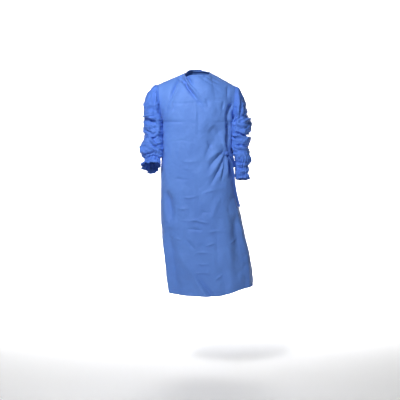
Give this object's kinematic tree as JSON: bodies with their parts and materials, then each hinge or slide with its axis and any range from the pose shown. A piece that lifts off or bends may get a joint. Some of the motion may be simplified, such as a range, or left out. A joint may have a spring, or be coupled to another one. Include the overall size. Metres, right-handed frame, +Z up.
{
  "type": "surgical gown",
  "caption": "Worn disposable surgical gown: wrap-over back, pushed-up gathered sleeves, bound round neck and a waist tie knotted at the wearer's left front.",
  "frame": {"origin": "middle of the neck opening, where the wearer's neck and shoulders hold the gown up", "axes": "+X to the wearer's left, -Y out of the front, +Z up"},
  "size_m": [0.6153, 0.334, 1.1871],
  "materials": {
    "body_cloth": "matt blue nonwoven with a soft sheen and fine creases",
    "sleeve_cloth": "the same nonwoven, deeper blue where it bunches",
    "binding": "matt light blue bias strip",
    "ties": "matt blue nonwoven strap"
  },
  "bodies": {
    "root": {"front_panel": "body_cloth", "back_panel_left": "body_cloth", "back_panel_right": "body_cloth", "sleeve_right": "sleeve_cloth", "sleeve_left": "sleeve_cloth", "neck_binding": "binding", "tie_front": "ties", "tie_short_tail": "ties", "tie_flap": "ties", "tie_knot": "ties"}
  },
  "joints": []
}
